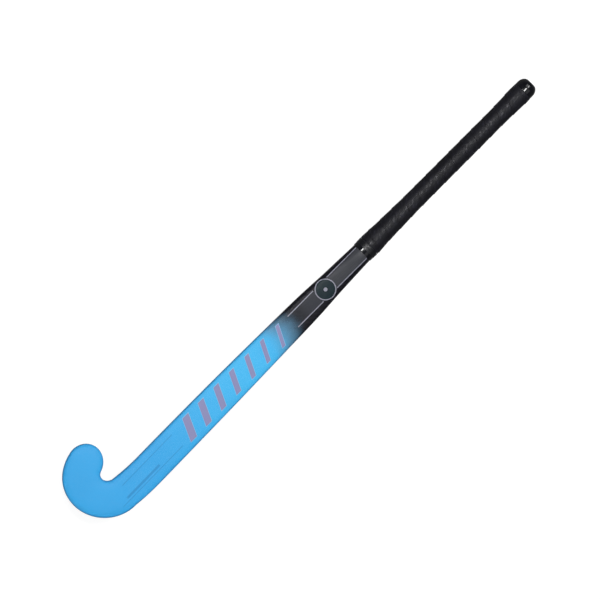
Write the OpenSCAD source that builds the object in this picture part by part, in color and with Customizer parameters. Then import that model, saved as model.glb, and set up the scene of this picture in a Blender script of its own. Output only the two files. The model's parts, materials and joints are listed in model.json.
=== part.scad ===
// Junior field hockey stick, hollow moulded composite, lying on its back with the playing face up.
// Stick axes: X runs from the base of the hook to the butt along the handle, Y points to the toe,
// Z comes out of the playing face. lie() then rolls and tilts the stick onto its three resting points.

/* [Size] */
// Length along the handle axis, from the base of the hook to the butt
stick_length = 813; // [780:1:860]
// Width across the playing face just above the hook
shaft_width = 45.2; // [44.5:0.1:46]
// Depth of the bow, measured under the face when the stick lies face down
bow = 20; // [8:0.5:24]
// Diameter of the bare handle tube in the middle of the grip
handle_d = 22.1; // [21.4:0.1:23]

/* [Hook] */
// Distance from the base of the hook to the centre of its curve, along the handle
hook_x = 58.9; // [58:0.1:62]
// Distance from the handle axis to the centre of the hook's curve
hook_y = 35.6; // [34:0.1:37]
// Angle past the base at which the toe's rounded end begins
toe_angle = 73; // [66:1:76]
// Half width of the toe where its rounded end begins
toe_r = 23.7; // [22.5:0.1:24.5]

/* [Laminate] */
// Wall of the outer shell
shell_wall = 2.2; // [1.8:0.1:2.6]
// Wall of each inner chamber tube
chamber_wall = 1.2; // [0.9:0.1:1.6]
// Glue line left between a piece and the one around it
bond = 0.3; // [0.25:0.05:0.5]

/* [Grip] */
// Where the grip begins, from the base of the hook of an 813 mm stick
grip_from = 512; // [508:1:516]
// Where the grip ends against the butt cap, from the base of the hook of an 813 mm stick
grip_to = 797.5; // [795:0.5:798.5]
// Thickness of the cushion layer under the grip
underlay_t = 0.5; // [0.4:0.1:0.8]
// Radius of the butt cap's straight collar
cap_r = 13.6; // [13.4:0.1:14]

/* [Transfers] */
// Thickness of a transfer film
film_t = 0.15; // [0.1:0.05:0.3]
// Number of slanted bars on the blue part
bar_count = 7; // [3:1:7]
// Outer radius of the round badge
badge_r = 14.5; // [10:0.1:14.5]

/* [Resting pose] */
// Lift of the butt above level
rest_tilt = 2.37; // [0:0.01:5]
// Roll of the face towards the toe
rest_roll = 14.35; // [0:0.01:20]

/* [Hidden] */

nominal_length = 813;
neck_x = 110;
film_gap = 0.1;
tape_gap = 0.12;
outer_n = 32;
inner_n = 32;

// The stick's own colours
blue = [0.20, 0.58, 0.90];
black = [0.07, 0.07, 0.09];
silver = [0.58, 0.58, 0.64];

// ---- Small helpers ----
function mix(a, b, t) = a + (b - a) * t;
function ease(t) = let (c = min(1, max(0, t))) c * c * (3 - 2 * c);
function squircle(c, n) = sign(c) * pow(abs(c), 2 / n);
function along(x) = x < neck_x ? x
    : neck_x + (x - neck_x) * (stick_length - neck_x) / (nominal_length - neck_x);
// Evenly spaced values from a to b in n steps
function steps(a, b, n) = [for (i = [0:n]) mix(a, b, i / n)];

// ---- Cross-sections along the straight part ----
// Rows: [distance from base, half width, face height, back depth, shoulder height, squareness]
shaft_half = shaft_width / 2;
head_half = shaft_half + 0.5;
handle_r = handle_d / 2;
rows = [
    [40, head_half, 9.8, 10.4, 2.5, 4.5],
    [hook_x, head_half, 9.8, 10.4, 2.5, 4.5],
    [95, shaft_half + 0.05, 9.8, 10.5, 2.5, 4.5],
    [130, shaft_half, 9.8, 10.6, 2.5, 4.5],
    [along(244), shaft_half - 0.8, 9.9, 11.2, 2.5, 4.5],
    [along(349), shaft_half - 2.6, 10.2, 11.6, 2.2, 4.2],
    [along(401), shaft_half - 3.8, 10.6, 11.8, 1.8, 3.8],
    [along(443), 16.5, 11.4, 12.2, 1.0, 3.0],
    [along(470), 15.5, 12.6, 13.0, 0.4, 2.4],
    [along(492), 14.7, 14.7, 14.7, 0, 2],
    [along(500), 14.4, 14.4, 14.4, 0, 2],
    [along(512), 13.75, 13.75, 13.75, 0, 2],
    [along(540), handle_r + 1.35, handle_r + 1.35, handle_r + 1.35, 0, 2],
    [along(590), handle_r + 0.15, handle_r + 0.15, handle_r + 0.15, 0, 2],
    [along(640), handle_r, handle_r, handle_r, 0, 2],
    [along(740), handle_r, handle_r, handle_r, 0, 2],
    [along(788), 12.2, 12.2, 12.2, 0, 2],
    [along(800), 12.2, 12.2, 12.2, 0, 2],
    [along(812), 12.2, 12.2, 12.2, 0, 2]
];
last_row = len(rows) - 2;

// Smooth curve through the rows
function row_slope(i) = (rows[i + 1] - rows[i - 1]) / (rows[i + 1][0] - rows[i - 1][0]);
function row_index(x, i = 1) = i >= last_row - 1 || x < rows[i + 1][0] ? i : row_index(x, i + 1);
function row_at(x) =
    let (i = row_index(x), a = rows[i], b = rows[i + 1], span = b[0] - a[0])
    let (t = min(1, max(0, (x - a[0]) / span)), t2 = t * t, t3 = t2 * t)
    a * (2 * t3 - 3 * t2 + 1) + row_slope(i) * span * (t3 - 2 * t2 + t)
    + b * (3 * t2 - 2 * t3) + row_slope(i + 1) * span * (t3 - t2);

// ---- Bow: how far the stick rises towards the face as it leaves the handle ----
bow_from = along(470);
bow_to = neck_x;
function bow_shape(x) = x > bow_from ? 0
    : x > bow_to ? pow(bow_from - x, 2)
    : pow(bow_from - bow_to, 2) + 2 * (bow_from - bow_to) * (bow_to - x);
function bow_gap(x) = bow_shape(0) * (1 - x / stick_length) - bow_shape(x);
bow_scale = bow / max([for (x = [200:10:480]) bow_gap(x)]);
function rise(x) = bow_scale * bow_shape(x);

// ---- Hook: its centreline swings round (hook_x, hook_y); angle 0 points at the base ----
hook_mid_r = 32.5;
hook_bulge = 1.3;
hook_lean = 19;
hook_half = 24.15;
toe_pull = 0.8;
toe_pull_from = 30;
toe_reach = 1.08 * toe_r;
function bulge(a) = hook_bulge * pow(max(0, cos(a - hook_lean)), 3);
function toe_share(a) = ease((a - toe_pull_from) / (toe_angle - toe_pull_from));
function hook_r(a) = hook_mid_r + bulge(a) - toe_pull * toe_share(a);
function hook_w(a) = mix(hook_half, head_half, ease(-a / 90 - 0.3)) + bulge(a)
    + (toe_r - hook_half) * toe_share(a);
function hook_pt(a) = [hook_x - hook_r(a) * cos(a), hook_y + hook_r(a) * sin(a)];
// The hook ends a little short of square, and the shaft runs on from it into line with the handle
heel_angle = -82;
heel_x = hook_pt(heel_angle)[0];
heel_drift = hook_pt(heel_angle)[1];
heel_run = 2 * heel_drift / tan(90 + heel_angle);
function drift(x) = heel_drift * pow(max(0, 1 - (x - heel_x) / heel_run), 2);

// ---- Stations: ["toe", 0..1], ["hook", angle] or ["shaft", x] ----
// A frame is [centre x, centre y, across x, across y, half width, face, back, shoulder, squareness]
head = rows[1];
toe_thin = 3;
function frame(st, inset) =
    st[0] == "shaft"
    ? let (r = row_at(st[1]))
        [st[1], drift(st[1]), 0, 1, r[1] - inset, r[2] - inset, r[3] - inset, r[4], r[5]]
    : st[0] == "hook"
    ? let (a = st[1], p = hook_pt(a))
        [p[0], p[1], cos(a), -sin(a), hook_w(a) - inset, head[2] - inset, head[3] - inset,
            head[4], head[5]]
    : let (a = toe_angle, p = hook_pt(a), t = st[1], reach = (toe_reach - inset) * sin(90 * t))
      let (w = (toe_r - inset) * cos(90 * t), k = pow(1 - pow(sin(90 * t), 2 * toe_thin), 0.5))
        [p[0] + reach * sin(a), p[1] + reach * cos(a), cos(a), -sin(a), w,
            head[4] + (head[2] - inset - head[4]) * k, (head[3] - inset + head[4]) * k - head[4],
            head[4], mix(head[5], 2.6, t)];

function back_square(n) = min(n, 2.3);
// A point of a section: v across the stick, z above the handle axis
function section_v(f, a) = f[4] * squircle(cos(a), sin(a) >= 0 ? f[8] : back_square(f[8]));
function section_z(f, a) = f[7]
    + (sin(a) >= 0 ? (f[5] - f[7]) * squircle(sin(a), f[8])
        : (f[6] + f[7]) * squircle(sin(a), back_square(f[8])));
function place(f, v, z) = let (x = f[0] + f[2] * v) [x, f[1] + f[3] * v, z + rise(x)];
function ring(f, n) = [for (j = [0:n - 1])
    let (a = 360 * (j + 0.5) / n) place(f, section_v(f, a), section_z(f, a))];
function rings(stations, inset, n) = [for (st = stations) ring(frame(st, inset), n)];

// A half section on the toe side (side = 1) or heel side (side = -1), flat along the middle
function half_ring(f, n, side, web) =
    [for (j = [0:n - 1])
        let (a = mix(-90, 90, j / (n - 1)), q = side > 0 ? a : a + 180)
        place(f, side * (web + (f[4] - web) * abs(section_v(f, q) / f[4])), section_z(f, q))];
function half_rings(stations, inset, n, side, web) =
    [for (st = stations) half_ring(frame(st, inset), n, side, web)];

// ---- Skins over rings ----
function flat(list) = [for (part = list) each part];
function wall(m, n, from) = [for (i = [0:m - 2], j = [0:n - 1])
    let (k = (j + 1) % n, a = from + i * n + j, b = from + i * n + k)
    each [[a, b + n, b], [a, a + n, b + n]]];
function wall_in(m, n, from) = [for (f = wall(m, n, from)) [f[2], f[1], f[0]]];
function cap(n, from) = [for (j = [0:n - 1]) from + j];
function cap_end(n, from) = [for (j = [0:n - 1]) from + n - 1 - j];
function rim(n, a0, b0) = [for (j = [0:n - 1])
    let (k = (j + 1) % n) each [[a0 + j, b0 + k, b0 + j], [a0 + j, a0 + k, b0 + k]]];

// A solid through closed rings
module solid_sweep(outer) {
    m = len(outer);
    n = len(outer[0]);
    polyhedron(flat(outer), concat([cap(n, 0)], wall(m, n, 0), [cap_end(n, (m - 1) * n)]), convexity = 8);
}

// A tube between outer and inner rings, open at its end, and at its start too if open_start is true
module hollow_sweep(outer, inner, open_start) {
    m = len(outer);
    k = len(inner);
    n = len(outer[0]);
    inner_from = m * n;
    start = open_start ? rim(n, 0, inner_from)
        : [cap(n, 0), cap_end(n, inner_from)];
    end = rim(n, inner_from + (k - 1) * n, (m - 1) * n);
    polyhedron(flat(concat(outer, inner)),
        concat(start, wall(m, n, 0), wall_in(k, n, inner_from), end), convexity = 8);
}

// ---- Places along the stick ----
shell_to = along(800);
grip_start = along(grip_from);
grip_end = along(grip_to);
core_to = along(122);
plug_to = along(134);
chamber_to = along(488);
foam_from = along(735);
spigot_from = along(786);
toe_steps = [0.97, 0.9, 0.8, 0.66, 0.5, 0.33, 0.16];
toe_stations = [for (t = toe_steps) ["toe", t]];
function hook_stations(n) = [for (a = steps(toe_angle, heel_angle, n)) ["hook", a]];
function shaft_stations(a, b, n) = [for (x = steps(a, b, n)) ["shaft", x]];
throat_stations = shaft_stations(heel_x + 7, neck_x, 8);
head_run = concat(toe_stations, hook_stations(14), throat_stations);

// ---- Resting pose ----
// The grip's outer radius along the handle
grip_rows = [[grip_start, 15.65], [along(519), 15.4], [along(537), 14.3], [along(558), 13.8],
    [along(589), 13], [along(631), 12.85], [along(715), 12.85], [along(746), 12.65],
    [along(767), 13.15], [along(786), 14], [grip_end, 14]];
shell_outer = rings(concat(toe_stations, hook_stations(18), throat_stations,
    shaft_stations(neck_x + 12, along(492), 30), shaft_stations(along(500), shell_to, 14)), 0, outer_n);
// The butt cap's collar is straight up to here, then rounds over to a flat end
round_from = stick_length - 10;
round_power = 1.8;
end_r = 6.1;
function rounded(t) = pow(1 - pow(t, round_power), 1 / round_power);
cap_rows = [for (t = steps(0, 1, 10)) let (u = sin(90 * t))
    [mix(round_from, stick_length, u), mix(end_r, cap_r, rounded(u))]];
outline_rows = concat(grip_rows, cap_rows);
round_points = [for (r = outline_rows, a = [0:10:350]) [r[0], r[1] * cos(a), r[1] * sin(a)]];
function rolled(p) = [p[0], p[1] * cos(rest_roll) + p[2] * sin(rest_roll),
    p[2] * cos(rest_roll) - p[1] * sin(rest_roll)];
function tilted(p) = [p[0] * cos(rest_tilt) - p[2] * sin(rest_tilt), p[1],
    p[2] * cos(rest_tilt) + p[0] * sin(rest_tilt)];
resting = [for (p = concat(flat(shell_outer), round_points)) tilted(rolled(p))];
function low(i) = min([for (p = resting) p[i]]);
function high(i) = max([for (p = resting) p[i]]);

module lie() {
    translate([-(low(0) + high(0)) / 2, -(low(1) + high(1)) / 2, -low(2)])
        rotate([-rest_roll, -rest_tilt, 0]) children();
}

// Turns a profile given as [distance along the handle, radius] about the handle axis
module turned(profile) {
    rotate([0, 90, 0]) rotate_extrude($fn = 96) polygon([for (p = profile) [p[1], p[0]]]);
}

// ---- Head, shaft and handle ----
module outer_shell() {
    run = concat(head_run, shaft_stations(neck_x + 20, along(492), 14),
        shaft_stations(along(500), shell_to, 10));
    color(blue) lie() hollow_sweep(shell_outer, rings(run, shell_wall, inner_n), false);
}

module chamber(side) {
    run = shaft_stations(plug_to + bond, chamber_to, 18);
    inset = shell_wall + bond;
    web = bond / 2;
    outside = half_rings(run, inset, 18, side, web);
    inside = half_rings(run, inset + chamber_wall, 18, side, web + chamber_wall);
    lie() hollow_sweep(outside, inside, true);
}

module toe_side_chamber() {
    color("dimgray") chamber(1);
}

module heel_side_chamber() {
    color("gray") chamber(-1);
}

sleeve_t = 0.8;
module head_sleeve() {
    run = concat(head_run, [["shaft", core_to]]);
    inset = shell_wall + bond;
    color("goldenrod") lie()
        hollow_sweep(rings(run, inset, 24), rings(run, inset + sleeve_t, 24), false);
}

module head_core() {
    run = concat(head_run, [["shaft", core_to]]);
    color("khaki") lie() solid_sweep(rings(run, shell_wall + bond + sleeve_t + bond, 24));
}

module throat_plug() {
    run = shaft_stations(core_to + bond, plug_to, 2);
    color("wheat") lie() solid_sweep(rings(run, shell_wall + bond, 24));
}

// ---- Handle end ----
bore_r = 12.2 - shell_wall;
foam_r = handle_r - shell_wall - 2 * bond;
module handle_foam() {
    color("wheat") lie() turned([[foam_from, 0], [spigot_from - bond, 0], [spigot_from - bond, foam_r],
        [foam_from, foam_r]]);
}

// The collar reaches back over the end of the shell as a thin skirt
skirt_from = grip_end + 0.1;
skirt_r = 12.2 + bond;
spigot_r = bore_r - bond;
module butt_cap() {
    plug = [[spigot_from, 0], [spigot_from, spigot_r - 1], [spigot_from + 2, spigot_r],
        [shell_to + bond, spigot_r], [shell_to + bond, skirt_r], [skirt_from, skirt_r],
        [skirt_from, cap_r]];
    color([0.12, 0.12, 0.14]) lie() turned(concat(plug, cap_rows, [[stick_length, 0]]));
}

// ---- Grip ----
function bare_r(x) = row_at(x)[1];
inner_xs = [for (r = grip_rows) r[0]];
module sleeve_round(xs, r_in, r_out) {
    turned(concat([for (i = [0:len(xs) - 1]) [xs[i], r_in[i]]],
        [for (i = [len(xs) - 1:-1:0]) [xs[i], r_out[i]]]));
}

module grip_underlay() {
    color("lightgray") lie() sleeve_round(inner_xs, [for (x = inner_xs) bare_r(x) + tape_gap],
        [for (x = inner_xs) bare_r(x) + tape_gap + underlay_t]);
}

module grip_wrap() {
    color(black) lie() sleeve_round(inner_xs,
        [for (x = inner_xs) bare_r(x) + 2 * tape_gap + underlay_t], [for (r = grip_rows) r[1]]);
}

tape_xs = [along(499), along(500.5), along(505), grip_start - 0.3];
module finishing_tape() {
    color([0.05, 0.05, 0.06]) lie() sleeve_round(tape_xs, [for (x = tape_xs) bare_r(x) + tape_gap],
        [14.85, 15.1, 15.45, 15.6]);
}

// ---- Transfers on the playing face ----
function face_z(x, y) =
    let (r = row_at(x), v = min(0.999, abs(y - drift(x)) / r[1]))
    r[4] + (r[2] - r[4]) * pow(1 - pow(v, r[5]), 1 / r[5]) + rise(x);

// A film over a grid of [x, y] points, laid at height up above the face
module film(grid, up) {
    m = len(grid);
    n = len(grid[0]);
    lift = film_gap + up;
    under = [for (line = grid) each [for (p = line) [p[0], p[1], face_z(p[0], p[1]) + lift]]];
    over = [for (p = under) p + [0, 0, film_t]];
    count = m * n;
    top = [for (i = [0:m - 2], j = [0:n - 2]) let (a = i * n + j)
        each [[a, a + 1, a + n + 1], [a, a + n + 1, a + n]]];
    edge = concat([for (j = [0:n - 1]) j], [for (i = [1:m - 1]) i * n + n - 1],
        [for (j = [n - 2:-1:0]) (m - 1) * n + j], [for (i = [m - 2:-1:1]) i * n]);
    side = [for (i = [0:len(edge) - 1]) let (a = edge[i], b = edge[(i + 1) % len(edge)])
        each [[a, b, b + count], [a, b + count, a + count]]];
    polyhedron(concat(under, over), concat([for (f = top) [f[2], f[1], f[0]]],
        [for (f = top) f + [count, count, count]], side), convexity = 4);
}

// A band from x0 to x1 between y0 and y1, its ends slanted by lean
function band(x0, x1, y0, y1, lean, nx, ny) = [for (i = [0:nx]) [for (j = [0:ny])
    [mix(x0, x1, i / nx) + lean * j / ny, mix(y0, y1, j / ny)]]];

stripe_w = 1.2;
stripe_toe_y = 10.6;
stripe_heel_y = -9;
module stripe(x0, x1, y, w, tint) {
    color(tint) lie() film(band(along(x0), along(x1), y, y + w, 0, 8, 1), 0);
}

module upper_stripe_toe_side() {
    stripe(444, 492, stripe_toe_y, stripe_w, silver);
}
module upper_stripe_heel_side() {
    stripe(444, 492, stripe_heel_y, stripe_w, silver);
}
module lower_stripe_toe_side() {
    stripe(372, 418, stripe_toe_y, stripe_w, silver);
}
module lower_stripe_heel_side() {
    stripe(372, 418, stripe_heel_y, stripe_w, silver);
}
module head_line_toe_side() {
    stripe(63, 155, 10.7, 1, [0.12, 0.42, 0.78]);
}
module head_line_heel_side() {
    stripe(44, 155, -9.8, 1, [0.12, 0.42, 0.78]);
}
module caption_bar() {
    stripe(56, 116, -6.6, 3.2, [0.16, 0.40, 0.66]);
}

bars_from = 165;
bars_pitch = 28.5;
bar_low = -14.3;
bar_high = 16.3;
bar_lean = 14;
module slanted_bars() {
    color([0.58, 0.55, 0.67]) lie() for (i = [0:bar_count - 1]) {
        x = along(bars_from + i * bars_pitch);
        film(band(x, x + 12 - 0.9 * i, bar_low + 0.1 * i, bar_high - 0.4 * i, bar_lean, 2, 8), 0);
    }
}

badge_x = along(431);
badge_y = 1;
// A square grid of n steps pulled out to a disc of radius r
function disc_grid(r, n) = [for (u = steps(-1, 1, n)) [for (v = steps(-1, 1, n))
    [badge_x + r * u * sqrt(1 - v * v / 2), badge_y + r * v * sqrt(1 - u * u / 2)]]];

// A ring-shaped film round the badge's centre, n points round and k steps across
module ring_film(r0, r1, up, n, k) {
    lift = film_gap + up;
    loop = concat([for (r = steps(r0, r1, k)) [r, lift]], [for (r = steps(r1, r0, k)) [r, lift + film_t]]);
    m = len(loop);
    points = [for (q = loop, j = [0:n - 1])
        let (x = badge_x + q[0] * cos(360 * j / n), y = badge_y + q[0] * sin(360 * j / n))
        [x, y, face_z(x, y) + q[1]]];
    polyhedron(points, [for (f = wall(m + 1, n, 0)) [for (v = f) v % (m * n)]], convexity = 4);
}

dot_r = 2.6;
ring_out = badge_r - 0.2;
ring_in = badge_r - 1.5;
module badge_disc() {
    color([0.08, 0.36, 0.42]) lie() film(disc_grid(badge_r, 24), 0);
}
module badge_ring() {
    color(silver) lie() {
        ring_film(ring_in, ring_out, film_t + film_gap, 48, 1);
        film(disc_grid(dot_r, 4), film_t + film_gap);
    }
}

outer_shell();
toe_side_chamber();
heel_side_chamber();
head_sleeve();
head_core();
throat_plug();
handle_foam();
butt_cap();
grip_underlay();
grip_wrap();
finishing_tape();
upper_stripe_toe_side();
upper_stripe_heel_side();
lower_stripe_toe_side();
lower_stripe_heel_side();
head_line_toe_side();
head_line_heel_side();
caption_bar();
slanted_bars();
badge_disc();
badge_ring();
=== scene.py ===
"""Field hockey stick, lying on its back on a pale floor: its visible pieces, their materials, light and camera.

Shapes are given in the stick's own frame, in millimetres: X runs from the base of the hook to the butt,
Y to the toe side and Z out of the playing face.
"""

import json
import math

import bmesh
import bpy
import numpy as np
from mathutils import Matrix, Vector


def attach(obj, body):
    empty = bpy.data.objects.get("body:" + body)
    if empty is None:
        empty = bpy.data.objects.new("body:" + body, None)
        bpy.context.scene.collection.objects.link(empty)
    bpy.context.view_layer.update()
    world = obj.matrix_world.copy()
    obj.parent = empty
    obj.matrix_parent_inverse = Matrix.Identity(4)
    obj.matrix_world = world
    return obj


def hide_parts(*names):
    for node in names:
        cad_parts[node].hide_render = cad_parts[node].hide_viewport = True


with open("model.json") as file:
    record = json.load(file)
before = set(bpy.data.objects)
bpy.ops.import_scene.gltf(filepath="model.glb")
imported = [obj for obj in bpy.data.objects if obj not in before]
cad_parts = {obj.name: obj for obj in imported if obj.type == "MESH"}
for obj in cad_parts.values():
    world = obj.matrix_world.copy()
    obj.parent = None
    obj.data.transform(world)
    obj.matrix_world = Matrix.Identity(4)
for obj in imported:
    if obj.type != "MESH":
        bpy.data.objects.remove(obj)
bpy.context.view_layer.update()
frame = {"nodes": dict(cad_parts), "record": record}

MM = 0.001

# ---- The stick's own frame ----

LENGTH = 813.0
REST_ROLL = math.radians(14.35)


def stick_matrix():
    """Lays the stick's own frame where the CAD model lies, read from the butt face's mount."""
    butt = next(m for m in frame["record"]["mounts"] if m["name"] == "butt_face")
    axis = Vector(butt["axis"]).normalized()
    tilt = math.atan2(axis.z, axis.x)
    base = Vector(butt["pos_m"]) - axis * LENGTH * MM
    return Matrix.Translation(base) @ Matrix.Rotation(-tilt, 4, "Y") @ Matrix.Rotation(-REST_ROLL, 4, "X")


LAY = stick_matrix()
UNLAY = LAY.inverted()


def in_stick(x, y, z):
    """A place given in the stick's own frame in millimetres, as a place in the scene."""
    return LAY @ (Vector((x, y, z)) * MM)


def cosd(a):
    return math.cos(math.radians(a))


def sind(a):
    return math.sin(math.radians(a))


def ease(t):
    """A smooth step from 0 to 1."""
    t = np.clip(t, 0, 1)
    return t * t * (3 - 2 * t)


# ---- Shape of the stick, the same design as the CAD model ----

SHAFT_HALF = 22.6
HEAD_HALF = SHAFT_HALF + 0.5
HANDLE_R = 11.05
SHELL_TO = 800.0

# The hook is an arc about (HOOK_X, HOOK_Y), a little fuller on the side that it leans to
HOOK_X, HOOK_Y = 58.9, 35.6
HOOK_MID_R, HOOK_HALF = 32.5, 24.15
HOOK_BULGE, HOOK_LEAN = 1.3, 19.0

# The toe rounds off the end of the arc, drawn in a little towards the arc's centre
TOE_ANGLE, TOE_R = 73.0, 23.7
TOE_REACH = 1.08 * TOE_R
TOE_PULL, TOE_PULL_FROM = 0.8, 30.0

# The bow is a parabola between these two places, with straight runs on from both its ends
BOW = 20.0
NECK_X, BOW_FROM = 110.0, 470.0

# Rows: distance from base, half width, face height, back depth, shoulder height, squareness
ROWS = np.array([
    [40, HEAD_HALF, 9.8, 10.4, 2.5, 4.5],
    [HOOK_X, HEAD_HALF, 9.8, 10.4, 2.5, 4.5],
    [95, SHAFT_HALF + 0.05, 9.8, 10.5, 2.5, 4.5],
    [130, SHAFT_HALF, 9.8, 10.6, 2.5, 4.5],
    [244, SHAFT_HALF - 0.8, 9.9, 11.2, 2.5, 4.5],
    [349, SHAFT_HALF - 2.6, 10.2, 11.6, 2.2, 4.2],
    [401, SHAFT_HALF - 3.8, 10.6, 11.8, 1.8, 3.8],
    [443, 16.5, 11.4, 12.2, 1.0, 3.0],
    [470, 15.5, 12.6, 13.0, 0.4, 2.4],
    [492, 14.7, 14.7, 14.7, 0, 2],
    [500, 14.4, 14.4, 14.4, 0, 2],
    [512, 13.75, 13.75, 13.75, 0, 2],
    [540, HANDLE_R + 1.35, HANDLE_R + 1.35, HANDLE_R + 1.35, 0, 2],
    [590, HANDLE_R + 0.15, HANDLE_R + 0.15, HANDLE_R + 0.15, 0, 2],
    [640, HANDLE_R, HANDLE_R, HANDLE_R, 0, 2],
    [740, HANDLE_R, HANDLE_R, HANDLE_R, 0, 2],
    [788, 12.2, 12.2, 12.2, 0, 2],
    [800, 12.2, 12.2, 12.2, 0, 2],
    [812, 12.2, 12.2, 12.2, 0, 2],
])
HEAD_ROW = ROWS[1]
BACK_SQUARE = 2.3  # the most squareness that the rounded back takes

# The CAD model is faceted, and the smooth skin stays this far inside its outermost corners
INSET = 0.15


def row_slope(i):
    return (ROWS[i + 1] - ROWS[i - 1]) / (ROWS[i + 1][0] - ROWS[i - 1][0])


def row_at(x):
    """The section row at x, on a smooth curve through ROWS."""
    i = int(np.clip(np.searchsorted(ROWS[:, 0], x, side="right") - 1, 1, len(ROWS) - 3))
    a, b = ROWS[i], ROWS[i + 1]
    span = b[0] - a[0]
    t = min(1.0, max(0.0, (x - a[0]) / span))
    t2, t3 = t * t, t * t * t
    return (a * (2 * t3 - 3 * t2 + 1) + row_slope(i) * span * (t3 - 2 * t2 + t)
            + b * (3 * t2 - 2 * t3) + row_slope(i + 1) * span * (t3 - t2))


def bow_shape(x):
    """The bow's curve at x, before it is scaled to its depth."""
    x = np.asarray(x, float)
    straight = (BOW_FROM - NECK_X) ** 2 + 2 * (BOW_FROM - NECK_X) * (NECK_X - x)
    return np.where(x > BOW_FROM, 0.0, np.where(x > NECK_X, (BOW_FROM - x) ** 2, straight))


# The bow's depth is measured from a straight line between the two ends of the stick
BOW_SCALE = BOW / max(float(bow_shape(0) * (1 - x / LENGTH) - bow_shape(x)) for x in range(200, 481, 10))


def rise(x):
    """How far the stick has risen towards its face at x."""
    return BOW_SCALE * bow_shape(x)


def bulge(a):
    return HOOK_BULGE * max(0.0, cosd(a - HOOK_LEAN)) ** 3


def toe_share(a):
    return float(ease((a - TOE_PULL_FROM) / (TOE_ANGLE - TOE_PULL_FROM)))


def heel_share(a):
    return float(ease(-a / 90 - 0.3))


def hook_point(a):
    """The middle of the hook at angle a, which is 0 at the base of the hook and grows towards the toe."""
    r = HOOK_MID_R + bulge(a) - TOE_PULL * toe_share(a)
    return HOOK_X - r * cosd(a), HOOK_Y + r * sind(a)


def hook_half_width(a):
    half = HOOK_HALF + (HEAD_HALF - HOOK_HALF) * heel_share(a)
    return half + bulge(a) + (TOE_R - HOOK_HALF) * toe_share(a)


# The hook ends a little short of square, and the shaft runs on from it into line with the handle
HEEL_ANGLE = -82.0
HEEL_X, HEEL_DRIFT = hook_point(HEEL_ANGLE)
HEEL_RUN = 2 * HEEL_DRIFT / math.tan(math.radians(90 + HEEL_ANGLE))


def drift(x):
    """How far the shaft's middle is off the handle axis near the hook."""
    return HEEL_DRIFT * max(0.0, 1 - (x - HEEL_X) / HEEL_RUN) ** 2


def signed_power(c, n):
    return np.sign(c) * np.abs(c) ** (2 / n)


def section(count, centre, across, half, face, back, shoulder, square, reach=0.0, cap_r=1.0):
    """A ring of points round the stick, and for each its front share and its place across from -1 to 1.

    In the toe's rounded end, reach is how far out the ring is from 0 to 1, and cap_r is the end's radius.
    """
    a = 2 * math.pi * (np.arange(count) + 0.5) / count
    front = np.sin(a) >= 0
    n = np.where(front, square, min(square, BACK_SQUARE))
    v = (half - INSET * (half > INSET)) * signed_power(np.cos(a), n)
    if reach > 0:
        rho = np.clip(np.hypot(reach, v / cap_r), 0, 1)
        height = np.sign(np.sin(a)) * (1 - rho ** n) ** (1 / n)
    else:
        height = signed_power(np.sin(a), n)
    z = shoulder + np.where(front, face - shoulder, back - INSET + shoulder) * height
    x = centre[0] + across[0] * v
    y = centre[1] + across[1] * v
    points = np.stack([x, y, z + rise(x)], 1)
    return points, np.clip(np.sin(a) * 3, -1, 1), v / max(half, 1e-6)


def shaft_section(x, count):
    return section(count, (x, drift(x)), (0, 1), *row_at(x)[1:])


def hook_section(a, count):
    return section(count, hook_point(a), (cosd(a), -sind(a)), hook_half_width(a), *HEAD_ROW[2:])


def toe_section(t, count):
    """A ring in the toe's rounded end, from the end of the hook's arc at t = 0 to the tip at t = 1."""
    a = TOE_ANGLE
    p = hook_point(a)
    reach = sind(90 * t)
    run = (TOE_REACH - 2 * INSET) * reach
    centre = (p[0] + run * sind(a), p[1] + run * cosd(a))
    return section(count, centre, (cosd(a), -sind(a)), TOE_R * cosd(90 * t), *HEAD_ROW[2:],
                   reach=reach, cap_r=TOE_R)


def face_z(x, y):
    """Height of the playing face at (x, y) on the shaft."""
    _, half, face, _, shoulder, square = row_at(x)
    v = min(0.999, abs(y - drift(x)) / half)
    return shoulder + (face - shoulder) * (1 - v ** square) ** (1 / square) + float(rise(x))


# ---- Making pieces ----

def sharpen(mesh, degrees):
    """Smooth shading everywhere but across edges steeper than the given angle."""
    bm = bmesh.new()
    bm.from_mesh(mesh)
    bmesh.ops.recalc_face_normals(bm, faces=bm.faces)
    limit = math.radians(degrees)
    for face in bm.faces:
        face.smooth = True
    for edge in bm.edges:
        edge.smooth = edge.calc_face_angle(0.0) < limit
    bm.to_mesh(mesh)
    bm.free()


def piece(name, points, faces, material, nodes, angle, marks=None):
    """A piece that stands for CAD nodes. marks are numbers at its points that its material reads."""
    mesh = bpy.data.meshes.new(name)
    mesh.from_pydata([in_stick(*p) for p in points], [], faces)
    for key, values in (marks or {}).items():
        layer = mesh.attributes.new(key, "FLOAT", "POINT")
        layer.data.foreach_set("value", np.asarray(values, np.float32))
    sharpen(mesh, angle)
    obj = bpy.data.objects.new(name, mesh)
    bpy.context.scene.collection.objects.link(obj)
    mesh.materials.append(material)
    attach(obj, "root")
    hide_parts(*nodes)
    return obj


def circle(x, r, count):
    """A ring of points about the handle axis."""
    turns = [2 * math.pi * i / count for i in range(count)]
    return [(x, r * math.cos(a), r * math.sin(a)) for a in turns]


def ring_faces(rows, count):
    """Quads between successive rings of count points."""
    out = []
    for i in range(rows - 1):
        for j in range(count):
            k = (j + 1) % count
            a, b = i * count, (i + 1) * count
            out.append((a + j, a + k, b + k, b + j))
    return out


def turned(name, profile, count, material, nodes, angle):
    """A piece turned about the handle axis from a closed profile of (x, radius)."""
    points = [p for x, r in profile for p in circle(x, r, count)]
    faces = ring_faces(len(profile), count)
    last = (len(profile) - 1) * count
    for j in range(count):
        k = (j + 1) % count
        faces.append((last + j, last + k, k, j))
    return piece(name, points, faces, material, nodes, angle)


# ---- Materials ----

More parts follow.
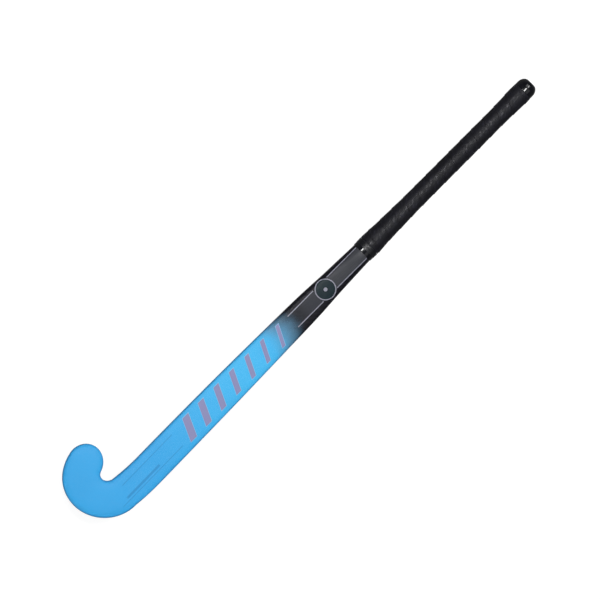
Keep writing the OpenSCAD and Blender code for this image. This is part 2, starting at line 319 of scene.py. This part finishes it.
class Graph:
    """A node material, written as expressions."""

    def __init__(self, name):
        self.material = bpy.data.materials.new(name)
        self.material.use_nodes = True
        self.tree = self.material.node_tree
        self.tree.nodes.clear()
        self.shader = self.tree.nodes.new("ShaderNodeBsdfPrincipled")
        out = self.tree.nodes.new("ShaderNodeOutputMaterial")
        self.tree.links.new(self.shader.outputs[0], out.inputs[0])

    def put(self, socket, value):
        if isinstance(value, bpy.types.NodeSocket):
            self.tree.links.new(value, socket)
        else:
            socket.default_value = value

    def node(self, kind, values=(), **props):
        made = self.tree.nodes.new(kind)
        for key, value in props.items():
            setattr(made, key, value)
        for key, value in dict(values).items():
            self.put(made.inputs[key], value)
        return made

    def coords(self):
        """Coordinates in the stick's own frame, in metres."""
        made = self.node("ShaderNodeMapping", {0: self.node("ShaderNodeTexCoord").outputs["Object"],
                                               1: UNLAY.translation, 2: UNLAY.to_euler("XYZ")})
        return made.outputs[0]

    def split(self, vector):
        made = self.node("ShaderNodeSeparateXYZ", {0: vector})
        return made.outputs[0], made.outputs[1], made.outputs[2]

    def join(self, x, y, z):
        return self.node("ShaderNodeCombineXYZ", {0: x, 1: y, 2: z}).outputs[0]

    def mark(self, name):
        return self.node("ShaderNodeAttribute", attribute_name=name).outputs["Fac"]

    def calc(self, operation, a, b=None):
        values = {i: v for i, v in enumerate((a, b)) if v is not None}
        return self.node("ShaderNodeMath", values, operation=operation).outputs[0]

    def smooth(self, value, low, high, out_low=0.0, out_high=1.0):
        """A smooth step between out_low and out_high as value goes from low to high."""
        made = self.node("ShaderNodeMapRange", interpolation_type="SMOOTHSTEP")
        for i, v in enumerate((value, low, high, out_low, out_high)):
            self.put(made.inputs[i], v)
        return made.outputs[0]

    def mix(self, factor, a, b):
        made = self.node("ShaderNodeMix", data_type="RGBA")
        for key, value in (("Factor_Float", factor), ("A_Color", a), ("B_Color", b)):
            socket = next(s for s in made.inputs if s.identifier == key)
            if isinstance(value, tuple):
                value = (*value, 1.0)
            self.put(socket, value)
        return next(s for s in made.outputs if s.identifier == "Result_Color")

    def noise(self, vector, scale, detail, rough=0.55):
        return self.node("ShaderNodeTexNoise", {"Vector": vector, "Scale": scale, "Detail": detail,
                                                "Roughness": rough}).outputs["Fac"]

    def cells(self, vector, scale, feature="F1", output="Distance"):
        return self.node("ShaderNodeTexVoronoi", {"Vector": vector, "Scale": scale},
                         feature=feature).outputs[output]

    def bump(self, height, strength, distance):
        return self.node("ShaderNodeBump", {"Height": height, "Strength": strength,
                                            "Distance": distance}).outputs[0]

    def finish(self, **sockets):
        """Fills the shader's sockets, named with _ for each space, and returns the material."""
        for key, value in sockets.items():
            if isinstance(value, tuple):
                value = (*value, 1.0)
            self.put(self.shader.inputs[key.replace("_", " ")], value)
        return self.material


def srgb(r, g, b):
    """A colour given as 0 to 255 on screen."""
    def lin(c):
        c /= 255
        return c / 12.92 if c <= 0.04045 else ((c + 0.055) / 1.055) ** 2.4
    return lin(r), lin(g), lin(b)


def darker(colour, share):
    return tuple(c * share for c in colour)


BLUE_HEAD = srgb(43, 141, 196)
BLUE_SHAFT = srgb(55, 155, 203)
# A darker blue: random cloudy tone, and painted shade along the side edges
BLUE_CLOUD_AND_EDGE_SHADE = srgb(34, 118, 172)
FLAKE = (0.55, 0.85, 1.0)
BLACK = srgb(14, 14, 19)
CARBON_TOW = srgb(27, 27, 33)
# Greys of the band down the face: partly print, partly painted reflection; the lighter one is a painted
# highlight
PANEL_PRINT_AND_SHEEN = srgb(40, 42, 48)
PANEL_GREY_HIGHLIGHT = srgb(56, 57, 61)
HAZE = srgb(128, 124, 122)
FADE_FROM, FADE_TO = 325 * MM, 384 * MM
PANEL_FROM, PANEL_TO = 372 * MM, 405 * MM
PANEL_MIDDLE, PANEL_INNER, PANEL_OUTER = 0.9 * MM, 8.4 * MM, 9.8 * MM


def twill(g, x, y, tow):
    """A two-by-two twill weave: which of the two crossing tows is on top, 0 or 1, and its rounded height."""
    u = g.calc("DIVIDE", x, tow)
    v = g.calc("DIVIDE", y, tow)
    cell = g.calc("ADD", g.calc("FLOOR", u), g.calc("FLOOR", v))
    over = g.calc("LESS_THAN", g.calc("FLOORED_MODULO", cell, 4.0), 1.5)
    crown_u = g.calc("SINE", g.calc("MULTIPLY", g.calc("FRACT", u), math.pi))
    crown_v = g.calc("SINE", g.calc("MULTIPLY", g.calc("FRACT", v), math.pi))
    lift = g.calc("ADD", g.calc("MULTIPLY", over, crown_u),
                  g.calc("MULTIPLY", g.calc("SUBTRACT", 1.0, over), crown_v))
    return over, lift


def lacquer():
    """Sky blue paint fading to black carbon, under clear lacquer."""
    g = Graph("lacquered_laminate")
    at = g.coords()
    x, y, _ = g.split(at)
    front = g.mark("front")
    across = g.mark("across")
    edge = g.calc("ABSOLUTE", across)

    # Blue paint with a fine pearl flake, and painted shade darkening it towards the sides
    flake = g.cells(at, 5200, output="Color")
    flake_level = g.node("ShaderNodeSeparateColor", {0: flake}).outputs[0]
    cloud = g.noise(at, 26, 2.0)
    blue = g.mix(g.smooth(x, 90 * MM, 300 * MM), BLUE_HEAD, BLUE_SHAFT)
    # Painted shade: the blue darkens near both side edges, where the rounded sides turn from the light
    blue = g.mix(g.smooth(edge, 0.86, 1.0, 0.0, 0.75), blue, BLUE_CLOUD_AND_EDGE_SHADE)
    blue = g.mix(g.smooth(cloud, 0.35, 0.65, 0.0, 0.10), blue, BLUE_CLOUD_AND_EDGE_SHADE)
    blue = g.mix(g.smooth(flake_level, 0.82, 1.0, 0.0, 0.16), blue, FLAKE)

    # Black part: twill carbon seen through tinted lacquer, with a grey band down the middle of the face that is
    # partly printed grey and partly painted reflection of the light overhead
    over, weave = twill(g, x, y, 2.0 * MM)
    black = g.mix(g.calc("MULTIPLY", over, 0.35), BLACK, CARBON_TOW)
    middle = g.calc("ABSOLUTE", g.calc("SUBTRACT", y, PANEL_MIDDLE))
    sheen_band = g.smooth(middle, PANEL_INNER, PANEL_OUTER, 1.0, 0.0)
    sheen_band = g.calc("MULTIPLY", sheen_band, g.smooth(front, 0.2, 0.9))
    sheen_band = g.calc("MULTIPLY", sheen_band, g.smooth(x, PANEL_FROM, PANEL_TO))
    grain = g.noise(g.join(g.calc("MULTIPLY", x, 60.0), g.calc("MULTIPLY", y, 900.0), 0.0), 1.0, 2.0)
    # Painted highlight: the band's grey brightens towards the grip
    grey = g.mix(g.smooth(x, 400 * MM, 480 * MM), PANEL_PRINT_AND_SHEEN, PANEL_GREY_HIGHLIGHT)
    grey = g.mix(g.smooth(grain, 0.3, 0.7, 0.0, 0.35), grey, PANEL_PRINT_AND_SHEEN)
    black = g.mix(sheen_band, black, grey)

    # Sprayed fade: its edge is broken up by the grain of the spray and bends back at the sides
    spray = g.calc("SUBTRACT", g.noise(at, 2400, 1.0, 0.8), 0.5)
    waver = g.calc("SUBTRACT", g.noise(at, 60, 2.0), 0.5)
    bent = g.calc("ADD", x, g.calc("MULTIPLY", spray, 26 * MM))
    bent = g.calc("ADD", bent, g.calc("MULTIPLY", waver, 10 * MM))
    bent = g.calc("ADD", bent, g.calc("MULTIPLY", g.calc("MULTIPLY", across, across), 10 * MM))
    fade = g.smooth(bent, FADE_FROM, FADE_TO)
    colour = g.mix(fade, blue, black)
    haze = g.calc("MULTIPLY", g.calc("MULTIPLY", fade, g.calc("SUBTRACT", 1.0, fade)), 0.7)
    colour = g.mix(haze, colour, HAZE)

    # Satin base under a thin coat, which has a faint orange peel
    base_rough = g.smooth(fade, 0.0, 1.0, 0.46, 0.40)
    base_normal = g.bump(g.calc("MULTIPLY", weave, fade), 0.25, 0.05 * MM)
    peel = g.noise(at, 420, 2.0)
    coat_normal = g.bump(peel, 0.18, 0.02 * MM)
    return g.finish(Base_Color=colour, Roughness=base_rough, Normal=base_normal, Coat_Weight=0.05,
                    Coat_Roughness=0.32, Coat_Normal=coat_normal, Specular_IOR_Level=0.1)


def film_ink(name, inner, rim):
    """Printed transfer: ink with fine grain, in another colour along its printed edge."""
    g = Graph(name)
    grain = g.noise(g.coords(), 1500, 2.0)
    edge = g.smooth(g.mark("rim"), 0.45, 0.6)
    worn = g.mix(g.smooth(grain, 0.4, 0.75, 0.0, 0.18), inner, darker(inner, 0.7))
    colour = g.mix(edge, worn, rim)
    normal = g.bump(grain, 0.12, 0.02 * MM)
    return g.finish(Base_Color=colour, Roughness=0.45, Normal=normal, Coat_Weight=0.06,
                    Coat_Roughness=0.25, Specular_IOR_Level=0.12)


GRIP_MEAN_R = 12.85


def grip_rubber():
    """Soft polyurethane wrap: satin black with an embossed grain, a fine slanting rib and glossier streaks; the
    streaks are lighter as painted sheen, and the grain's pits darker as painted shade.
    """
    g = Graph("grip_polyurethane")
    at = g.coords()
    x, y, z = g.split(at)
    pebble = g.cells(at, 1500, feature="SMOOTH_F1")
    fine = g.noise(at, 5200, 2.0)
    girth = g.calc("MULTIPLY", g.calc("ARCTAN2", z, y), -GRIP_MEAN_R * MM)
    off_rib = g.calc("SUBTRACT", x, g.calc("MULTIPLY", girth, 0.9))
    on_rib = g.calc("ADD", x, girth)
    rib = g.calc("SINE", g.calc("MULTIPLY", off_rib, 2 * math.pi / (1.5 * MM)))
    streak_and_sheen = g.noise(g.join(g.calc("MULTIPLY", off_rib, 260.0), g.calc("MULTIPLY", on_rib, 70.0), 0.0), 1.0, 3.0)
    patch = g.noise(at, 45, 3.0)
    height = g.calc("ADD", g.calc("MULTIPLY", pebble, 0.9), g.calc("MULTIPLY", fine, 0.35))
    height = g.calc("ADD", height, g.calc("MULTIPLY", rib, 0.12))
    height = g.calc("ADD", height, g.calc("MULTIPLY", streak_and_sheen, 4.0))
    colour = g.mix(g.smooth(patch, 0.35, 0.7), srgb(12, 12, 17), srgb(19, 19, 25))
    # Painted sheen: the streaks are lighter in colour, standing in for the streaky highlight on the grip
    colour = g.mix(g.smooth(streak_and_sheen, 0.52, 0.72, 0.0, 0.6), colour, srgb(44, 44, 52))
    # Painted shade: darker in the pits of the embossed grain
    colour = g.mix(g.smooth(pebble, 0.1, 0.5, 0.35, 0.0), colour, srgb(10, 10, 12))
    rough = g.calc("ADD", g.smooth(streak_and_sheen, 0.46, 0.64, 0.50, 0.24), g.smooth(patch, 0.3, 0.7, 0.0, 0.06))
    normal = g.bump(height, 0.8, 0.12 * MM)
    return g.finish(Base_Color=colour, Roughness=rough, Normal=normal, Specular_IOR_Level=0.17)


def glossy_black(name, rough, scuffed=None):
    """Smooth black tape or moulding with faint stretch marks, duller from scuffed[0] to scuffed[1] and on."""
    g = Graph(name)
    at = g.coords()
    x, y, z = g.split(at)
    stretch = g.noise(g.join(g.calc("MULTIPLY", x, 900.0), g.calc("MULTIPLY", y, 90.0), z), 1.0, 2.0)
    smudge = g.noise(at, 120, 3.0)
    colour = g.mix(g.smooth(smudge, 0.3, 0.7), srgb(5, 6, 10), srgb(9, 10, 15))
    shine = g.smooth(smudge, 0.3, 0.7, rough, rough + 0.06)
    if scuffed:
        shine = g.calc("ADD", shine, g.smooth(x, *scuffed, 0.0, 0.28))
    normal = g.bump(stretch, 0.05, 0.03 * MM)
    return g.finish(Base_Color=colour, Roughness=shine, Normal=normal, Specular_IOR_Level=0.34)


def woven(name, dark, light, tow, rough):
    """Bare woven ply in resin."""
    g = Graph(name)
    at = g.coords()
    x, y, _ = g.split(at)
    over, lift = twill(g, x, y, tow)
    strand = g.noise(at, 2600, 2.0)
    colour = g.mix(over, dark, light)
    colour = g.mix(g.smooth(strand, 0.3, 0.7, 0.0, 0.3), colour, darker(dark, 0.6))
    return g.finish(Base_Color=colour, Roughness=rough, Normal=g.bump(lift, 0.5, 0.1 * MM))


def foam(name, tint, cell):
    """Closed-cell foam with cells of the given size."""
    g = Graph(name)
    bubbles = g.cells(g.coords(), 1 / cell, feature="DISTANCE_TO_EDGE")
    # Painted shade: darker along the low creases between the domed cells
    colour = g.mix(g.smooth(bubbles, 0.0, 0.25), darker(tint, 0.75), tint)
    return g.finish(Base_Color=colour, Roughness=0.9, Normal=g.bump(bubbles, 0.6, 0.3 * MM))


# ---- Pieces ----

SHELL_POINTS = 112
TOE_RINGS, HOOK_RINGS, SHAFT_RINGS = 26, 84, 240
TOE_TIP = 0.02  # the share of the toe's rounded end that is left flat at its tip


def make_shell():
    """Hook, shaft and handle as one smooth skin, closed by a flat at the tip and one under the butt cap."""
    count = SHELL_POINTS
    toe = [toe_section(t, count) for t in 1 - np.linspace(TOE_TIP, 1.0, TOE_RINGS) ** 1.15]
    hook = [hook_section(a, count) for a in np.linspace(TOE_ANGLE, HEEL_ANGLE, HOOK_RINGS)[1:]]
    shaft = [shaft_section(x, count) for x in np.linspace(HEEL_X, SHELL_TO, SHAFT_RINGS)[1:]]
    rings = toe + hook + shaft
    points, front, across = (np.concatenate(part) for part in zip(*rings))
    faces = ring_faces(len(rings), count)
    faces.append(tuple(range(count)))
    last = (len(rings) - 1) * count
    faces.append(tuple(last + j for j in reversed(range(count))))
    return piece("stick_shell", points, faces, lacquer(), ["outer_shell"], 60,
                 {"front": front, "across": across})


GRIP_FROM, GRIP_TO, GRIP_PITCH = 512.0, 797.5, 21.0
GRIP_POINTS = 96
GRIP_BORE_GAP = 0.74
GRIP_BORE_RINGS = 40

# Outer radius of the wrap, by distance from base
GRIP_ROWS = np.array([[512, 15.65], [519, 15.4], [537, 14.3], [558, 13.8], [589, 13], [631, 12.85],
                      [715, 12.85], [746, 12.65], [767, 13.15], [786, 14], [797.5, 14]])

# A lap edge's height, and the shares of a turn over which it rises and falls away
LAP, LAP_RISE, LAP_FALL = 0.62, 0.02, 0.22
HUMP = 0.16  # how far the strip crowns between two lap edges
GRIP_SINK = 0.3
GRIP_END_EASE = 2.0

# Shares of a turn where the strip's mesh has a line, close together at the lap edge
TURN_LINES = [0, 0.006, 0.013, 0.022, 0.04, 0.07, 0.12, 0.19, 0.28, 0.4, 0.52, 0.64, 0.76, 0.88, 0.96, 0.992]


def grip_r(x, a):
    """Outer radius of the wound strip at x and angle a: each turn laps over the one before it."""
    base = float(np.interp(x, GRIP_ROWS[:, 0], GRIP_ROWS[:, 1]))
    p = (x / GRIP_PITCH + a / (2 * math.pi)) % 1.0
    lap = LAP * math.exp(-p / LAP_FALL) * float(ease(p / LAP_RISE))
    hump = HUMP * math.sin(math.pi * p) ** 0.8
    fade = float(ease((x - GRIP_FROM) / GRIP_END_EASE)) * float(ease((GRIP_TO - x) / GRIP_END_EASE))
    return base - GRIP_SINK + (lap + hump) * fade


def make_grip():
    """The strip as a sleeve whose mesh lines follow the helix, so that each lap edge is crisp."""
    count = GRIP_POINTS
    per_turn = len(TURN_LINES)
    turns = int((GRIP_TO - GRIP_FROM) / GRIP_PITCH) + 4
    first = math.floor(GRIP_FROM / GRIP_PITCH) - 1
    points, ids = [], {}

    def vertex(i, k):
        """The point on mesh line k at step i round the handle. Lines past an end share its one point there."""
        i, k = (i, k) if i < count else (i - count, k - per_turn)
        turn, m = divmod(k, per_turn)
        x = (first + turn + TURN_LINES[m] - i / count) * GRIP_PITCH
        key = (i, "low") if x <= GRIP_FROM else (i, "high") if x >= GRIP_TO else (i, k)
        if key not in ids:
            a = 2 * math.pi * i / count
            x = min(GRIP_TO, max(GRIP_FROM, x))
            r = grip_r(x, a)
            ids[key] = len(points)
            points.append((x, r * math.cos(a), r * math.sin(a)))
        return ids[key]

    faces = []
    for i in range(count):
        for k in range(turns * per_turn):
            corners = [vertex(i, k), vertex(i + 1, k), vertex(i + 1, k + 1), vertex(i, k + 1)]
            face = [c for n, c in enumerate(corners) if c not in corners[:n]]
            if len(face) > 2:
                faces.append(tuple(face))

    bore = []
    for x in np.linspace(GRIP_FROM, GRIP_TO, GRIP_BORE_RINGS):
        bore.append(range(len(points), len(points) + count))
        points += circle(x, row_at(x)[1] + GRIP_BORE_GAP, count)
    for i in range(count):
        j = (i + 1) % count
        for low, high in zip(bore, bore[1:]):
            faces.append((low[i], high[i], high[j], low[j]))
        faces.append((ids[i, "low"], ids[j, "low"], bore[0][j], bore[0][i]))
        faces.append((ids[i, "high"], bore[-1][i], bore[-1][j], ids[j, "high"]))
    return piece("grip_wrap_strip", points, faces, grip_rubber(), ["grip_wrap"], 50)


ROUND_POINTS = 128
TAPE_BORE_GAP = 0.14
TAPE_BORE_XS = (511.6, 508, 504, 501, 499)
TAPE_START = [(499, 14.8), (499.2, 15.0), (499.5, 15.08)]
TAPE_TURNS = ((499.8, 504.1, 15.1), (504.6, 508.0, 15.35), (508.5, 511.2, 15.55))  # from, to, radius
TAPE_END = [(511.6, 15.4)]
TAPE_SCUFFED = (503 * MM, 506 * MM)


def make_tape():
    """Glossy finishing tape: three turns, each lying flat on the one before it."""
    bore = [(x, row_at(x)[1] + TAPE_BORE_GAP) for x in TAPE_BORE_XS]
    turns = [(x, r) for x0, x1, r in TAPE_TURNS for x in (x0, x0 + 0.2, x1 - 0.2, x1)]
    return turned("finishing_tape_band", TAPE_START + turns + TAPE_END + bore, ROUND_POINTS,
                  glossy_black("finishing_tape", 0.09, TAPE_SCUFFED), ["finishing_tape"], 50)


CAP_R, CAP_END_R, CAP_ROUND, CAP_POWER = 13.6, 6.1, 10.0, 1.8

# From the spigot inside the handle, round the skirt over the shell's end, to the collar
CAP_SKIRT = [(786, 0.4), (786, 8.7), (788, 9.7), (800.3, 9.7), (800.3, 12.5), (797.6, 12.5), (797.6, 13.3),
             (797.8, 13.5), (798.1, CAP_R), (798.3, CAP_R), (802.8, CAP_R)]
CAP_DISH = [(LENGTH - 0.15, 5.9), (LENGTH - 0.5, 5.0), (LENGTH - 0.65, 3.0), (LENGTH - 0.7, 0.4)]


def make_cap():
    """Moulded butt cap: a spigot, a skirt, a collar, and a rounded rim round a dished end."""
    rim = []
    for a in range(0, 91, 5):
        t = sind(a)
        rim.append((LENGTH - CAP_ROUND + CAP_ROUND * t,
                    CAP_END_R + (CAP_R - CAP_END_R) * max(0.0, 1 - t ** CAP_POWER) ** (1 / CAP_POWER)))
    return turned("butt_cap_moulding", CAP_SKIRT + rim + CAP_DISH, ROUND_POINTS,
                  glossy_black("cap_plastic", 0.10), ["butt_cap"], 40)


FILM_GAP, FILM_T = 0.03, 0.14
FILM_EDGE = 0.55  # share of a film's thickness that is left at its border


def film(name, sheets, material, nodes, up=0.0):
    """Thin sheets over the face. Each sheet is a grid of (x, y) with its share of rim at each point."""
    points, faces, rim = [], [], []
    for grid, edge in sheets:
        m, n = grid.shape[:2]
        start = len(points)
        for layer in (0, 1):
            for i in range(m):
                for j in range(n):
                    x, y = grid[i, j]
                    border = i in (0, m - 1) or j in (0, n - 1)
                    lift = FILM_GAP + up + (FILM_T * (FILM_EDGE if border else 1.0) if layer else 0)
                    points.append((x, y, face_z(x, y) + lift))
                    rim.append(edge[i, j])
        top = start + m * n
        for i in range(m - 1):
            for j in range(n - 1):
                a = i * n + j
                faces.append((top + a, top + a + n, top + a + n + 1, top + a + 1))
                faces.append((start + a, start + a + 1, start + a + n + 1, start + a + n))
        loop = list(range(n)) + [i * n + n - 1 for i in range(1, m)]
        loop += [(m - 1) * n + j for j in range(n - 2, -1, -1)] + [i * n for i in range(m - 2, 0, -1)]
        for a, b in zip(loop, loop[1:] + loop[:1]):
            faces.append((start + a, top + a, top + b, start + b))
    return piece(name, points, faces, material, nodes, 70, {"rim": rim})


def band(x0, x1, y0, y1, lean=0.0, nx=8, ny=3, rim=0.0):
    """A band's grid and its rim shares. A rim of some width has extra grid lines close inside the border."""
    def lines(n, length):
        if rim == 0:
            return np.linspace(0, 1, n + 1)
        inner = rim / length
        return np.concatenate([[0, inner * 0.5, inner], np.linspace(inner, 1 - inner, n + 1)[1:-1],
                               [1 - inner, 1 - inner * 0.5, 1]])
    us, vs = lines(nx, x1 - x0), lines(ny, y1 - y0)
    grid = np.array([[(x0 + (x1 - x0) * u + lean * v, y0 + (y1 - y0) * v) for v in vs] for u in us])
    edge = np.zeros(grid.shape[:2])
    if rim > 0:
        edge[:2, :] = edge[-2:, :] = 1
        edge[:, :2] = edge[:, -2:] = 1
    return grid, edge


def disc(cx, cy, r, n):
    """A square grid pulled out to a disc."""
    us = np.linspace(-1, 1, n + 1)
    grid = np.array([[(cx + r * u * math.sqrt(1 - v * v / 2), cy + r * v * math.sqrt(1 - u * u / 2))
                      for v in us] for u in us])
    return grid, np.zeros(grid.shape[:2])


def annulus(cx, cy, r0, r1, n):
    """A ring's grid, from one end of a full turn to the other."""
    grid = np.array([[(cx + r * math.cos(a), cy + r * math.sin(a)) for r in np.linspace(r0, r1, 4)]
                     for a in np.linspace(0, 2 * math.pi, n + 1)])
    return grid, np.zeros(grid.shape[:2])


STRIPE_W = 1.2
STRIPES = (("upper", 443, 498), ("lower", 371, 418))
STRIPE_SIDES = (("toe", 10.6), ("heel", -9.0))
HEAD_LINE_TO, HEAD_LINE_W = 155, 1.0
HEAD_LINES = (("toe", 63, 10.7, 30), ("heel", 44, -9.8, 40))  # side, start, low edge, grid steps
CAPTION = (56, 116, -6.6, -3.4)

# Each slanted bar is a little narrower and shorter than the one before it
BAR_COUNT, BAR_FROM, BAR_PITCH = 7, 165.0, 28.5
BAR_W, BAR_LOW, BAR_HIGH, BAR_LEAN = 12.0, -14.3, 16.3, 14.0
BAR_RIM = 0.7

BADGE = (431.0, 1.0)
BADGE_R, BADGE_DOT_R = 14.5, 2.6
BADGE_RING = (BADGE_R - 1.5, BADGE_R - 0.2)


def make_films():
    """The printed marks, as plain shapes without any lettering."""
    silver = film_ink("silver_film", srgb(124, 124, 136), srgb(142, 142, 154))
    blue_ink = film_ink("blue_film", srgb(41, 125, 178), srgb(46, 132, 184))
    mauve = film_ink("mauve_film", srgb(117, 118, 154), srgb(112, 162, 198))
    teal = film_ink("teal_film", srgb(10, 28, 34), srgb(60, 120, 135))
    for part, x0, x1 in STRIPES:
        for side, y in STRIPE_SIDES:
            film(f"{part}_stripe_{side}", [band(x0, x1, y, y + STRIPE_W, nx=24)], silver,
                 [f"{part}_stripe_{side}_side"])
    for side, x0, y, steps in HEAD_LINES:
        film(f"head_line_{side}", [band(x0, HEAD_LINE_TO, y, y + HEAD_LINE_W, nx=steps)], blue_ink,
             [f"head_line_{side}_side"])
    film("caption_strip", [band(*CAPTION, nx=20)], blue_ink, ["caption_bar"])
    bars = []
    for i in range(BAR_COUNT):
        x = BAR_FROM + i * BAR_PITCH
        bars.append(band(x, x + BAR_W - 0.9 * i, BAR_LOW + 0.1 * i, BAR_HIGH - 0.4 * i, BAR_LEAN,
                         nx=8, ny=18, rim=BAR_RIM))
    film("slanted_bar_row", bars, mauve, ["slanted_bars"])
    film("badge_field", [disc(*BADGE, BADGE_R, 28)], teal, ["badge_disc"])
    film("badge_line", [annulus(*BADGE, *BADGE_RING, 96), disc(*BADGE, BADGE_DOT_R, 10)], silver,
         ["badge_ring"], up=FILM_T + FILM_GAP)


def dress_hidden_nodes():
    """The pieces inside the stick keep their CAD shape and get their materials here."""
    looks = {
        "bare_laminate": woven("bare_laminate", srgb(26, 26, 30), srgb(52, 52, 56), 2.0 * MM, 0.45),
        "aramid_ply": woven("aramid_ply", srgb(178, 142, 60), srgb(214, 184, 96), 1.6 * MM, 0.7),
        "rigid_foam": foam("rigid_foam", srgb(226, 214, 182), 0.6 * MM),
        "underlay_foam": foam("underlay_foam", srgb(168, 168, 170), 0.4 * MM),
    }
    slots = {s["node"]: s["material_slot"] for s in frame["record"]["subparts"]}
    for name, obj in frame["nodes"].items():
        look = looks.get(slots[name])
        if look:
            obj.data.materials.clear()
            obj.data.materials.append(look)


# ---- Camera, floor and light ----

# The camera looks at AIM from a little towards the toe side, turned so that the handle runs up to the right
AIM = (398.1, 16.45, 22.0)
VIEW_LEAN = math.radians(5.4)
HANDLE_ANGLE = math.radians(45.12)
FRAME_WIDTH = 0.784
LENS, SENSOR = 300.0, 36.0


def make_camera():
    """Looks down on the playing face through a long lens."""
    c, s = math.cos(HANDLE_ANGLE), math.sin(HANDLE_ANGLE)
    turn = Matrix(((c, s, 0), (-s, c, 0), (0, 0, 1))).to_4x4()
    distance = FRAME_WIDTH * LENS / SENSOR
    aim = Matrix.Translation(Vector(AIM) * MM)
    lean = Matrix.Rotation(-VIEW_LEAN, 4, "X")
    camera = bpy.data.cameras.new("camera")
    camera.lens = LENS
    camera.sensor_width = SENSOR
    obj = bpy.data.objects.new("camera", camera)
    bpy.context.scene.collection.objects.link(obj)
    obj.matrix_world = LAY @ aim @ lean @ Matrix.Translation((0, 0, distance)) @ turn
    bpy.context.scene.camera = obj


FLOOR_HALF = 12.0
FLOOR_DARK, FLOOR_LIGHT = (0.15, 0.15, 0.15), (0.16, 0.16, 0.16)
FLOOR_GLOW = 0.90


def make_floor():
    """A floor that glows pale where the camera sees it, and sends little light up to the stick."""
    bm = bmesh.new()
    bmesh.ops.create_grid(bm, x_segments=12, y_segments=12, size=FLOOR_HALF)
    mesh = bpy.data.meshes.new("floor")
    bm.to_mesh(mesh)
    bm.free()
    obj = bpy.data.objects.new("floor", mesh)
    bpy.context.scene.collection.objects.link(obj)
    g = Graph("floor_paper")
    tone = g.noise(g.coords(), 3.0, 3.0)
    colour = g.mix(g.smooth(tone, 0.3, 0.7), FLOOR_DARK, FLOOR_LIGHT)
    seen = g.node("ShaderNodeLightPath").outputs["Is Camera Ray"]
    glow = g.calc("MULTIPLY", seen, FLOOR_GLOW)
    mesh.materials.append(g.finish(Base_Color=colour, Roughness=0.9, Specular_IOR_Level=0.1,
                                   Emission_Color=(1.0, 1.0, 1.0), Emission_Strength=glow))


def area(name, place, aim, size, size_y, level, along):
    """A soft box of the given radiance, size metres long in the direction of along and size_y metres wide."""
    light = bpy.data.lights.new(name, "AREA")
    light.shape = "RECTANGLE"
    light.size = size
    light.size_y = size_y
    light.energy = level * math.pi * size * size_y
    obj = bpy.data.objects.new(name, light)
    bpy.context.scene.collection.objects.link(obj)
    back = (place - aim).normalized()
    side = (along - back * along.dot(back)).normalized()
    up = back.cross(side)
    turn = Matrix((side, up, back)).transposed().to_4x4()
    obj.matrix_world = Matrix.Translation(place) @ turn
    obj.visible_camera = False


WORLD_TINT, WORLD_LEVEL = (0.93, 0.96, 1.0, 1), 0.16


def make_world():
    """A dim surrounding light, which the camera itself sees as white."""
    world = bpy.data.worlds.new("studio")
    bpy.context.scene.world = world
    world.use_nodes = True
    tree = world.node_tree
    tree.nodes.clear()
    dim = tree.nodes.new("ShaderNodeBackground")
    dim.inputs["Color"].default_value = WORLD_TINT
    dim.inputs["Strength"].default_value = WORLD_LEVEL
    pale = tree.nodes.new("ShaderNodeBackground")
    pale.inputs["Color"].default_value = (1, 1, 1, 1)
    either = tree.nodes.new("ShaderNodeMixShader")
    seen = tree.nodes.new("ShaderNodeLightPath")
    out = tree.nodes.new("ShaderNodeOutputWorld")
    tree.links.new(seen.outputs["Is Camera Ray"], either.inputs[0])
    tree.links.new(dim.outputs[0], either.inputs[1])
    tree.links.new(pale.outputs[0], either.inputs[2])
    tree.links.new(either.outputs[0], out.inputs[0])
    bpy.context.scene.view_settings.view_transform = "Standard"


def make_lights():
    """A bright narrow box set slantwise over the handle, a thin one past the butt, and three broad dim ones."""
    low, high = in_stick(498, 1130, 2000), in_stick(965, -300, 2000)
    shaft = in_stick(400, 0, 0)
    length = in_stick(1, 0, 0) - in_stick(0, 0, 0)
    across = in_stick(0, 1, 0) - in_stick(0, 0, 0)
    area("strip", (low + high) / 2, in_stick(560, 0, 0), (high - low).length, 0.16, 44.0, high - low)
    area("tip", in_stick(2150, -255, 2000), in_stick(806, 0, 13), 2.4, 0.05, 40.0, length)
    area("heel_side", in_stick(420, -1400, 1900), shaft, 2.2, 1.2, 1.0, length)
    area("butt_side", in_stick(2500, 100, 1900), shaft, 1.8, 1.6, 3.2, across)
    area("head_side", in_stick(-1700, 200, 1900), shaft, 1.8, 1.6, 2.4, across)


make_camera()
make_shell()
make_grip()
make_tape()
make_cap()
make_films()
dress_hidden_nodes()
make_floor()
make_world()
make_lights()
